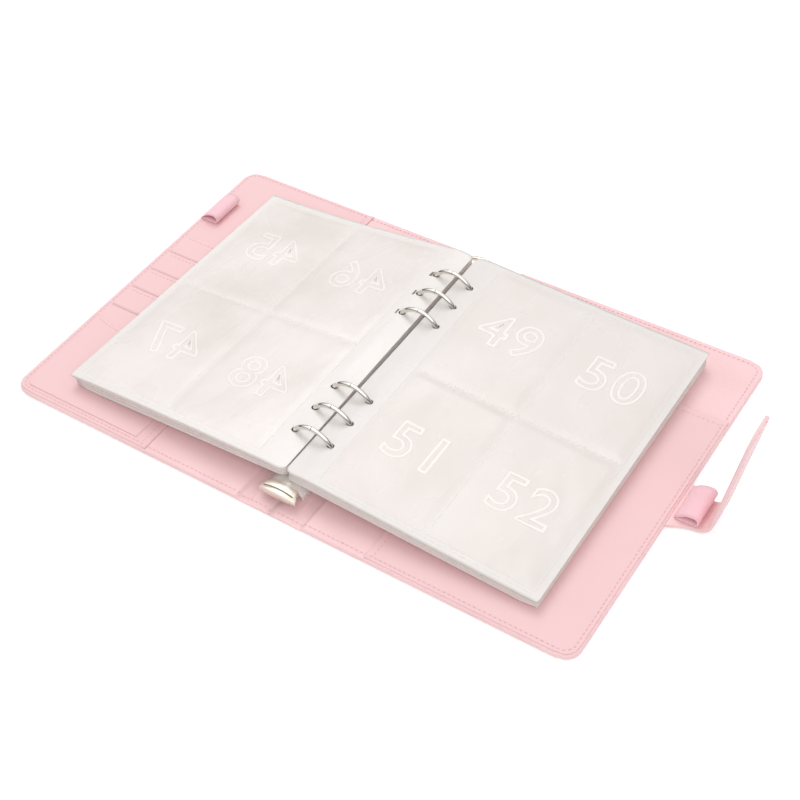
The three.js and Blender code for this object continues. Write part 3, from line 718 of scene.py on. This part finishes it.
def make_numbers(side, name, body, numbers, sizes, finish):
    """Puffed outline numbers, one for each pocket."""
    quarter = (WELD_OUTER - WELD_INNER) / 4
    bm = bmesh.new()
    for text, (column, row) in zip(numbers, ((1, 1), (3, 1), (1, -1), (3, -1))):
        curve = bpy.data.curves.new("number", "FONT")
        curve.body, curve.size, curve.fill_mode = text, sizes.number_size / MM, "NONE"
        curve.align_x, curve.align_y, curve.space_character = "CENTER", "CENTER", 1.12
        curve.bevel_depth, curve.bevel_resolution, curve.resolution_u = NUMBER_LINE, 3, 8
        curve.offset = NUMBER_SPREAD
        holder = linked("number", curve)
        bpy.context.view_layer.update()
        mesh = bpy.data.meshes.new_from_object(holder.evaluated_get(bpy.context.evaluated_depsgraph_get()))
        centre = (WELD_INNER + column * quarter, row * SHEET_HALF / 2)
        for vert in mesh.vertices:
            x, y, z = vert.co
            u, y = centre[0] + x, centre[1] + y
            vert.co = (side * u, y, film_top(side, u, y) + z * NUMBER_HEIGHT - 0.01)
        bm.from_mesh(mesh)
        bpy.data.objects.remove(holder)
        bpy.data.meshes.remove(mesh)
    bmesh.ops.remove_doubles(bm, verts=bm.verts[:], dist=0.001)
    face_outwards(bm)
    finish_piece(name, bm, body, [finish])


# Material effects


def add_node(tree, kind, links=(), **values):
    """A node with its settings, and its inputs filled by values or by other nodes' outputs."""
    node = tree.nodes.new(kind)
    for key, value in values.items():
        setattr(node, key, value)
    for socket, source in links:
        if isinstance(source, bpy.types.NodeSocket):
            tree.links.new(source, node.inputs[socket])
        else:
            node.inputs[socket].default_value = source
    return node


def mixed_colour(tree, factor, first, second):
    """A colour between two others."""
    return add_node(tree, "ShaderNodeMix", [(0, factor), (6, first), (7, second)], data_type="RGBA").outputs[2]


def spread(tree, source, low, high, from_low=0.3, from_high=0.7):
    """A value mapped to a new range."""
    links = [("Value", source), ("From Min", from_low), ("From Max", from_high), ("To Min", low),
             ("To Max", high)]
    return add_node(tree, "ShaderNodeMapRange", links).outputs[0]


def clouds(tree, vector, scale, detail, distortion=0.0):
    """Soft noise of one size."""
    links = [("Vector", vector), ("Scale", scale), ("Detail", detail), ("Distortion", distortion)]
    return add_node(tree, "ShaderNodeTexNoise", links).outputs[0]


def stretched(tree, vector, scale, turn=0.0):
    """Coordinates that draw a pattern out to streaks."""
    links = [("Vector", vector), ("Scale", scale), ("Rotation", (0.0, 0.0, turn))]
    return add_node(tree, "ShaderNodeMapping", links).outputs[0]


def start_effect(name, numbers=()):
    """A node group for one effect, with what goes into it."""
    group = bpy.data.node_groups.new(name, "ShaderNodeTree")
    sockets = [("Vector", "NodeSocketVector", None), ("Colour", "NodeSocketColor", (1, 1, 1, 1)),
               ("Shade", "NodeSocketColor", (1, 1, 1, 1))]
    sockets += [(label, "NodeSocketFloat", value) for label, value in numbers]
    for label, kind, value in sockets:
        socket = group.interface.new_socket(name=label, in_out="INPUT", socket_type=kind)
        if value is not None:
            socket.default_value = value
    return group, group.nodes.new("NodeGroupInput").outputs


def end_effect(group, given, shade, roughness, height):
    """Connects what an effect puts out: its two colours mixed by the shade, roughness and height."""
    colour = mixed_colour(group, shade, given["Colour"], given["Shade"])
    results = (("Colour", "Color", colour), ("Roughness", "Float", roughness), ("Height", "Float", height))
    for label, kind, _ in results:
        group.interface.new_socket(name=label, in_out="OUTPUT", socket_type="NodeSocket" + kind)
    out = group.nodes.new("NodeGroupOutput")
    for label, _, source in results:
        group.links.new(source, out.inputs[label])
    return group


def grain_group():
    """Pebbled leather grain with soft colour clouds."""
    group, given = start_effect("leather_grain", [("Grain Scale", 900.0)])
    vector = given["Vector"]
    cells = add_node(group, "ShaderNodeTexVoronoi", [("Vector", vector), ("Scale", given["Grain Scale"])],
                     feature="SMOOTH_F1")
    cloud = clouds(group, vector, 28.0, 4.0)
    pores = spread(group, cells.outputs["Distance"], 0.0, 1.0, 0.1, 0.7)
    height = add_node(group, "ShaderNodeMath", [(0, pores), (1, clouds(group, vector, 2600.0, 3.0))],
                      operation="ADD")
    shade = add_node(group, "ShaderNodeMath", [(0, spread(group, cloud, 0.0, 0.75)),
                                               (1, spread(group, pores, 0.0, 0.25, 0.5, 1.0))], operation="ADD")
    return end_effect(group, given, shade.outputs[0], spread(group, cloud, 0.46, 0.6), height.outputs[0])


def film_group():
    """Soft film: faint milky clouds and small wrinkles."""
    group, given = start_effect("clear_film_wrinkles", [("Wrinkle Scale", 60.0)])
    vector = given["Vector"]
    drawn = stretched(group, vector, (1.0, 0.5, 1.0), 0.6)
    wrinkle = clouds(group, drawn, given["Wrinkle Scale"], 2.5, 0.6)
    fine = clouds(group, vector, 700.0, 2.0)
    height = add_node(group, "ShaderNodeMath", [(0, fine), (1, 0.08), (2, wrinkle)], operation="MULTIPLY_ADD")
    shade = spread(group, clouds(group, vector, 22.0, 5.0), 0.0, 1.0, 0.35, 0.68)
    return end_effect(group, given, shade, spread(group, wrinkle, 0.2, 0.38), height.outputs[0])


def metal_group():
    """Plated metal: fine drawn streaks and faint handling marks."""
    group, given = start_effect("plated_metal", [("Rough Low", 0.1), ("Rough High", 0.25)])
    streak = clouds(group, stretched(group, given["Vector"], (1.0, 0.05, 1.0)), 1500.0, 3.0)
    marks = clouds(group, given["Vector"], 90.0, 6.0)
    rough = spread(group, marks, given["Rough Low"], given["Rough High"], 0.35, 0.65)
    return end_effect(group, given, marks, rough, streak)


def rib_group():
    """Ribbed elastic: cords across the width with rows of small stitches, and painted shade in the grooves
    between the cords.
    """
    group, given = start_effect("elastic_rib")
    waves = []
    for direction, scale, distortion in (("Y", 380.0, 0.3), ("X", 240.0, 0.4)):
        links = [("Vector", given["Vector"]), ("Scale", scale), ("Distortion", distortion)]
        waves.append(add_node(group, "ShaderNodeTexWave", links, bands_direction=direction).outputs[1])
    height = add_node(group, "ShaderNodeMath", list(enumerate(waves)), operation="MULTIPLY").outputs[0]
    return end_effect(group, given, spread(group, height, 1.0, 0.0, 0.0, 0.6), spread(group, height, 0.9, 0.75),
                      height)


def effect(name):
    """The shared effect of that name, made on first use."""
    makers = {"leather_grain": grain_group, "clear_film_wrinkles": film_group, "plated_metal": metal_group,
              "elastic_rib": rib_group}
    return bpy.data.node_groups.get(name) or makers[name]()


def finish_material(name, group, colour, shade, depth, bump, values, shader, on_welds=None):
    """A material from one effect: its colour, roughness and relief, and plain values on the shader."""
    name = "wallet_" + name
    known = bpy.data.materials.get(name)
    if known:
        return known
    made = bpy.data.materials.new(name)
    made.use_nodes = True
    tree = made.node_tree
    surface = tree.nodes["Principled BSDF"]
    place = add_node(tree, "ShaderNodeTexCoord")
    applied = tree.nodes.new("ShaderNodeGroup")
    applied.node_tree = effect(group)
    tree.links.new(place.outputs["Object"], applied.inputs["Vector"])
    for label, value in {"Colour": (*colour, 1), "Shade": (*shade, 1), **values}.items():
        applied.inputs[label].default_value = value
    relief = add_node(tree, "ShaderNodeBump", [("Height", applied.outputs["Height"]), ("Strength", bump),
                                               ("Distance", depth * MM)])
    base = applied.outputs["Colour"]
    if on_welds:
        fill = add_node(tree, "ShaderNodeAttribute", attribute_name="pocket_fill").outputs["Fac"]
        base = mixed_colour(tree, spread(tree, fill, 0.0, 1.0, 0.02, 0.3), (*on_welds, 1), base)
    tree.links.new(base, surface.inputs["Base Color"])
    tree.links.new(applied.outputs["Roughness"], surface.inputs["Roughness"])
    tree.links.new(relief.outputs[0], surface.inputs["Normal"])
    for label, value in shader.items():
        surface.inputs[label].default_value = value
    return made


def darker(colour, share):
    """A colour with a share of its light."""
    return tuple(value * share for value in colour)


def metal_finish(name, colour, share, bump, metallic, rough):
    """A plated finish, with the lowest and highest roughness."""
    return (name, "plated_metal", colour, darker(colour, share), 0.01, bump,
            {"Rough Low": rough[0], "Rough High": rough[1]}, {"Metallic": metallic})


def film_finish(name, colour, shade, wrinkles, gloss, depth=0.05, bump=0.2):
    """A film finish, with its wrinkle scale and specular level."""
    return (name, "clear_film_wrinkles", colour, shade, depth, bump, {"Wrinkle Scale": wrinkles},
            {"Specular IOR Level": gloss})


def finishes(context):
    """Every finish of the wallet, from the colours in the panel."""
    c = context.scene.wallet_colours
    leather, rib = "leather_grain", "elastic_rib"
    rows = {
        "cover": ("cover_leather", leather, c.cover, c.cover_shade, 0.05, 0.5, {},
                  {"Specular IOR Level": 0.4, "Sheen Weight": 0.08}),
        "pocket": ("pocket_leather", leather, c.pocket, c.cover_shade, 0.04, 0.45, {"Grain Scale": 1100.0},
                   {"Specular IOR Level": 0.4}),
        # The thread's darker share lands in the rib grooves: painted shade.
        "thread": ("stitch_thread", rib, c.thread, darker(c.thread, 0.85), 0.03, 0.3, {}, {}),
        "elastic": ("pink_elastic", rib, c.elastic, c.elastic_shade, 0.12, 0.8, {}, {"Sheen Weight": 0.2}),
        "rings": metal_finish("ring_nickel", c.nickel, 0.85, 0.1, 1.0, (0.05, 0.11)),
        "case": metal_finish("case_nickel", c.case, 0.85, 0.2, 0.25, (0.2, 0.36)),
        "lever": metal_finish("lever_champagne", c.lever, 0.9, 0.15, 0.75, (0.34, 0.46)),
        "sheets": film_finish("sheet_layers", c.sheet, c.sheet_shade, 60.0, 0.4, 0.1),
        # Painted light: the pink of the leather seen through the stack's layers.
        "leather_lit_pink": film_finish("pink_lit_layers", c.leather_lit_pink, c.sheet, 60.0, 0.4, 0.1),
        "welds": film_finish("film_welds", c.weld, c.sheet, 200.0, 0.5),
        "right_numbers": film_finish("raised_numbers", c.raised, c.film, 120.0, 0.25),
        "left_numbers": film_finish("faint_numbers", c.film, c.sheet, 120.0, 0.25),
    }
    look = {key: finish_material(*row) for key, row in rows.items()}
    # The right stack's film and welds are darker copies of the same film and welds: painted shade on the right
    # stack.
    for side, film, weld in (("left", c.film, c.weld), ("right", darker(c.film, 0.93), darker(c.weld, 0.92))):
        row = film_finish(side + "_film", film, c.sheet_shade, 45.0, 0.55, 0.3, 0.3)
        row[-1]["Alpha"] = 0.88
        look[side + "_film"] = finish_material(*row, on_welds=weld)
    return look


# What a user would change


def length(label, value, words):
    """A length property, given in millimetres."""
    return bpy.props.FloatProperty(name=label, description=words, default=value * MM, min=0.0, unit="LENGTH",
                                   precision=5)


def colour(label, value, words):
    """A colour property."""
    return bpy.props.FloatVectorProperty(name=label, description=words, default=value, min=0.0, max=1.0, size=3,
                                         subtype="COLOR")


class WalletSizes(bpy.types.PropertyGroup):
    """Sizes of the covers, stitches and sheets."""

    cover_height: length("Cover height", 235.0, "Covers along the spine")
    front_reach: length("Front reach", 188.1, "Spine centre to the front cover's edge")
    back_reach: length("Back reach", 185.6, "Spine centre to the back cover's edge")
    board_thick: length("Cover thickness", 3.5, "Board with the leather on both sides")
    corner_radius: length("Corner radius", 10.0, "Outer corners of the covers")
    front_pocket: length("Front pocket edge", 87.5, "Spine centre to the front pocket's open edge")
    back_pocket: length("Back pocket edge", 61.5, "Spine centre to the back pocket's open edge")
    back_pocket_top: length("Back pocket top", 65.0, "Height of the back pocket's top edge over the middle")
    stitch_inset: length("Stitch inset", 3.4, "Stitch line to the cover's edge")
    stitch_pitch: length("Stitch pitch", 3.0, "From one stitch to the next")
    weld_pitch: length("Weld pitch", 1.6, "From one weld dot to the next")
    number_size: length("Number size", 36.0, "Type size of the pocket numbers")
    sheet_layers: bpy.props.IntProperty(name="Sheet layers", default=11, min=2, max=20,
                                        description="Sheets under the top one that are told apart")


class WalletColours(bpy.types.PropertyGroup):
    """Colours of the leather, elastic, metal and film."""

    cover: colour("Cover", (0.95, 0.655, 0.67), "Cover leather")
    cover_shade: colour("Cover shade", (0.89, 0.59, 0.605), "Clouds and pores of the leather")
    pocket: colour("Pocket", (0.865, 0.585, 0.595), "Pocket leather")
    thread: colour("Thread", (0.93, 0.56, 0.59), "Stitches")
    elastic: colour("Elastic", (0.97, 0.66, 0.71), "Pen loops")
    # Painted shade in the grooves between the ribs.
    elastic_shade: colour("Elastic shade", (0.95, 0.56, 0.62), "Between the ribs")
    nickel: colour("Nickel", (0.8, 0.76, 0.71), "Rings")
    case: colour("Case", (0.96, 0.93, 0.9), "Mechanism case and rivets")
    lever: colour("Lever", (0.86, 0.8, 0.7), "Levers")
    sheet: colour("Sheets", (0.84, 0.78, 0.74), "Sheets in the stacks")
    sheet_shade: colour("Sheet shade", (0.83, 0.765, 0.725), "Darker parts of the sheets")
    # Painted light: the pink of the leather showing through the film, painted on every other stack layer.
    leather_lit_pink: colour("Leather-lit layers", (0.88, 0.76, 0.74), "Layers that the leather shows through")
    film: colour("Film", (0.93, 0.87, 0.84), "Top film")
    raised: colour("Raised numbers", (0.9, 0.84, 0.805), "Numbers of the right stack")
    weld: colour("Welds", (0.91, 0.865, 0.835), "Welds and the strip beside the rings")


# One operator for each piece or group of like pieces


class MakeCovers(bpy.types.Operator):
    """Make the two covers with the spine between them"""

    bl_idname = "wallet.covers"
    bl_label = "Covers"

    def execute(self, context):
        sizes, look = context.scene.wallet_sizes, finishes(context)
        on_pocket = sizes.board_thick / MM + POCKET_THICK
        pair = [look["cover"], look["thread"]]
        front = {"edge": sizes.front_pocket / MM, "far": NO_END, "top": on_pocket}
        back = {"edge": sizes.back_pocket / MM, "far": sizes.back_pocket_top / MM, "top": on_pocket}
        make_cover(LEFT, "leather_front", ["front_cover", "spine_panel"], sizes,
                   sizes.front_reach / MM, front, pair)
        make_cover(RIGHT, "leather_back", ["back_cover"], sizes, sizes.back_reach / MM, back, pair)
        return {"FINISHED"}


class MakePockets(bpy.types.Operator):
    """Make the pocket panels, card slots and slanted pocket"""

    bl_idname = "wallet.pockets"
    bl_label = "Pockets and card slots"

    def execute(self, context):
        sizes, look = context.scene.wallet_sizes, finishes(context)
        pair = [look["pocket"], look["thread"]]
        make_panel(LEFT, "leather_front_pocket", "front_pocket", "front_cover", sizes, sizes.front_reach / MM,
                   sizes.front_pocket / MM, NO_END, pair)
        make_panel(RIGHT, "leather_back_pocket", "back_pocket", "back_cover", sizes, sizes.back_reach / MM,
                   sizes.back_pocket / MM, sizes.back_pocket_top / MM, pair)
        for number in range(len(SLOT_TOPS)):
            make_card_slot(number, sizes, pair)
        make_slant_pocket(sizes, pair)
        return {"FINISHED"}


class MakeStrap(bpy.types.Operator):
    """Make the closing strap"""

    bl_idname = "wallet.strap"
    bl_label = "Closing strap"

    def execute(self, context):
        look = finishes(context)
        make_strap(context.scene.wallet_sizes, [look["cover"], look["thread"]])
        return {"FINISHED"}


class MakeLoops(bpy.types.Operator):
    """Make the two elastic pen loops"""

    bl_idname = "wallet.loops"
    bl_label = "Pen loops"

    def execute(self, context):
        sizes, look = context.scene.wallet_sizes, finishes(context)
        front = make_loop("elastic_front_loop", "front_pen_loop", "front_cover",
                          FRONT_LOOP_IN - sizes.front_reach / MM,
                          FRONT_LOOP[1], FRONT_LOOP[0], look["elastic"])
        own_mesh(front)
        make_loop("elastic_back_loop", "back_pen_loop", "back_cover", sizes.back_reach / MM + BACK_LOOP_OUT,
                  BACK_LOOP[1], BACK_LOOP[0], look["elastic"])
        return {"FINISHED"}


class MakeMechanism(bpy.types.Operator):
    """Make the rings, case, blades, rivets and levers"""

    bl_idname = "wallet.mechanism"
    bl_label = "Ring mechanism"

    def execute(self, context):
        look = finishes(context)
        make_half_rings(LEFT, "nickel_left_rings", "left_rings", look["rings"])
        make_half_rings(RIGHT, "nickel_right_rings", "right_rings", look["rings"])
        dressed_copy("mechanism_case", "root", look["case"], 0.25)
        for end in ("near", "far"):
            dressed_copy(f"{end}_lever", f"{end}_lever", look["lever"], 0.4)
            dressed_copy(f"{end}_rivet", "root", look["case"], 0.2)
        for side in ("left", "right"):
            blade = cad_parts[f"{side}_blade"]
            blade.data.materials.clear()
            blade.data.materials.append(look["case"])
        return {"FINISHED"}


class MakeSheets(bpy.types.Operator):
    """Make the two stacks of clear pocket sheets"""

    bl_idname = "wallet.sheets"
    bl_label = "Clear sheets"

    def execute(self, context):
        sizes, look = context.scene.wallet_sizes, finishes(context)
        stacks = ((LEFT, "left", ("46", "45", "48", "47")), (RIGHT, "right", ("49", "50", "51", "52")))
        for side, word, numbers in stacks:
            body = f"{word}_sheets"
            make_stack(side, f"film_{word}_stack", body, sizes, [look["sheets"], look["leather_lit_pink"]])
            make_top_film(side, f"film_{word}_top", body, [look[f"{word}_film"]])
            make_welds(side, f"film_{word}_welds", body, sizes, [look["welds"]])
            make_numbers(side, f"film_{word}_numbers", body, numbers, sizes, look[f"{word}_numbers"])
        return {"FINISHED"}


class MakeStage(bpy.types.Operator):
    """Make the floor, lights and camera"""

    bl_idname = "wallet.stage"
    bl_label = "Floor, light and camera"

    def execute(self, context):
        scene = context.scene
        bm = bmesh.new()
        bmesh.ops.create_grid(bm, x_segments=4, y_segments=4, size=4)
        bmesh.ops.translate(bm, verts=bm.verts[:], vec=(0, 0, -0.0003))
        floor = linked("floor", into_mesh("floor", bm))
        paint = bpy.data.materials.new("pale_floor")
        paint.use_nodes = True
        tree = paint.node_tree
        surface = tree.nodes["Principled BSDF"]
        surface.inputs["Roughness"].default_value = 1.0
        surface.inputs["Specular IOR Level"].default_value = 0.0
        surface.inputs["Base Color"].default_value = (FLOOR_WHITE, FLOOR_WHITE, FLOOR_WHITE, 1)
        path = add_node(tree, "ShaderNodeLightPath")
        seen = add_node(tree, "ShaderNodeMath", [(0, path.outputs["Is Camera Ray"]),
                                                 (1, path.outputs["Is Glossy Ray"])], operation="MAXIMUM")
        lift = add_node(tree, "ShaderNodeMath", [(0, seen.outputs[0]), (1, FLOOR_LIFT)], operation="MULTIPLY")
        surface.inputs["Emission Color"].default_value = (1, 1, 1, 1)
        tree.links.new(lift.outputs[0], surface.inputs["Emission Strength"])
        floor.data.materials.append(paint)

        # The room is white to the camera, and darker near the floor in the metal.
        world = bpy.data.worlds.new("soft_room")
        world.use_nodes = True
        tree = world.node_tree
        path = add_node(tree, "ShaderNodeLightPath")
        place = add_node(tree, "ShaderNodeTexCoord")
        way = add_node(tree, "ShaderNodeSeparateXYZ", [(0, place.outputs["Generated"])])
        in_metal = spread(tree, way.outputs["Z"], *METAL_ROOM)
        level = add_node(tree, "ShaderNodeMix", [(0, path.outputs["Is Glossy Ray"]), (2, ROOM_LIGHT),
                                                 (3, in_metal)])
        bright = add_node(tree, "ShaderNodeMath", [(0, level.outputs[0]), (1, path.outputs["Is Camera Ray"])],
                          operation="MAXIMUM")
        tree.links.new(bright.outputs[0], tree.nodes["Background"].inputs["Strength"])
        tree.nodes["Background"].inputs["Color"].default_value = (1, 1, 1, 1)
        scene.world = world
        for name, place, size, power in LAMPS:
            lamp = bpy.data.lights.new(name, "AREA")
            lamp.shape, lamp.size, lamp.energy = "DISK", size, power
            holder = linked(name, lamp)
            holder.location = place
            holder.rotation_euler = (-Vector(place)).to_track_quat("-Z", "Y").to_euler()

        lens = bpy.data.cameras.new("camera")
        lens.lens, lens.sensor_width = LENS, SENSOR
        lens.clip_start, lens.clip_end = 0.01, 50
        camera = linked("camera", lens)
        turn = Matrix((CAMERA_RIGHT, CAMERA_UP, CAMERA_BACK)).transposed().to_4x4()
        camera.matrix_world = Matrix.Translation(CAMERA_PLACE) @ turn
        scene.camera = camera
        scene.view_settings.view_transform = "Standard"
        return {"FINISHED"}


class WalletPanel(bpy.types.Panel):
    """Lists the sizes, colours and steps"""

    bl_idname = "VIEW3D_PT_wallet"
    bl_label = "Cash wallet"
    bl_space_type = "VIEW_3D"
    bl_region_type = "UI"
    bl_category = "Wallet"

    def draw(self, context):
        for group in (context.scene.wallet_sizes, context.scene.wallet_colours):
            box = self.layout.box()
            for name in group.bl_rna.properties.keys():
                if name not in ("rna_type", "name"):
                    box.prop(group, name)
        for step in STEPS:
            self.layout.operator(step.bl_idname)


STEPS = (MakeStage, MakeCovers, MakePockets, MakeStrap, MakeLoops, MakeMechanism, MakeSheets)
CLASSES = (WalletSizes, WalletColours, *STEPS, WalletPanel)


def register():
    """Adds the classes and the scene's settings."""
    for item in CLASSES:
        bpy.utils.register_class(item)
    bpy.types.Scene.wallet_sizes = bpy.props.PointerProperty(type=WalletSizes)
    bpy.types.Scene.wallet_colours = bpy.props.PointerProperty(type=WalletColours)


def unregister():
    """Removes them again."""
    del bpy.types.Scene.wallet_colours
    del bpy.types.Scene.wallet_sizes
    for item in reversed(CLASSES):
        bpy.utils.unregister_class(item)


def main():
    """Makes every piece."""
    register()
    for step in STEPS:
        group, name = step.bl_idname.split(".")
        getattr(getattr(bpy.ops, group), name)()
    bpy.context.view_layer.update()


if __name__ == "__main__":
    main()
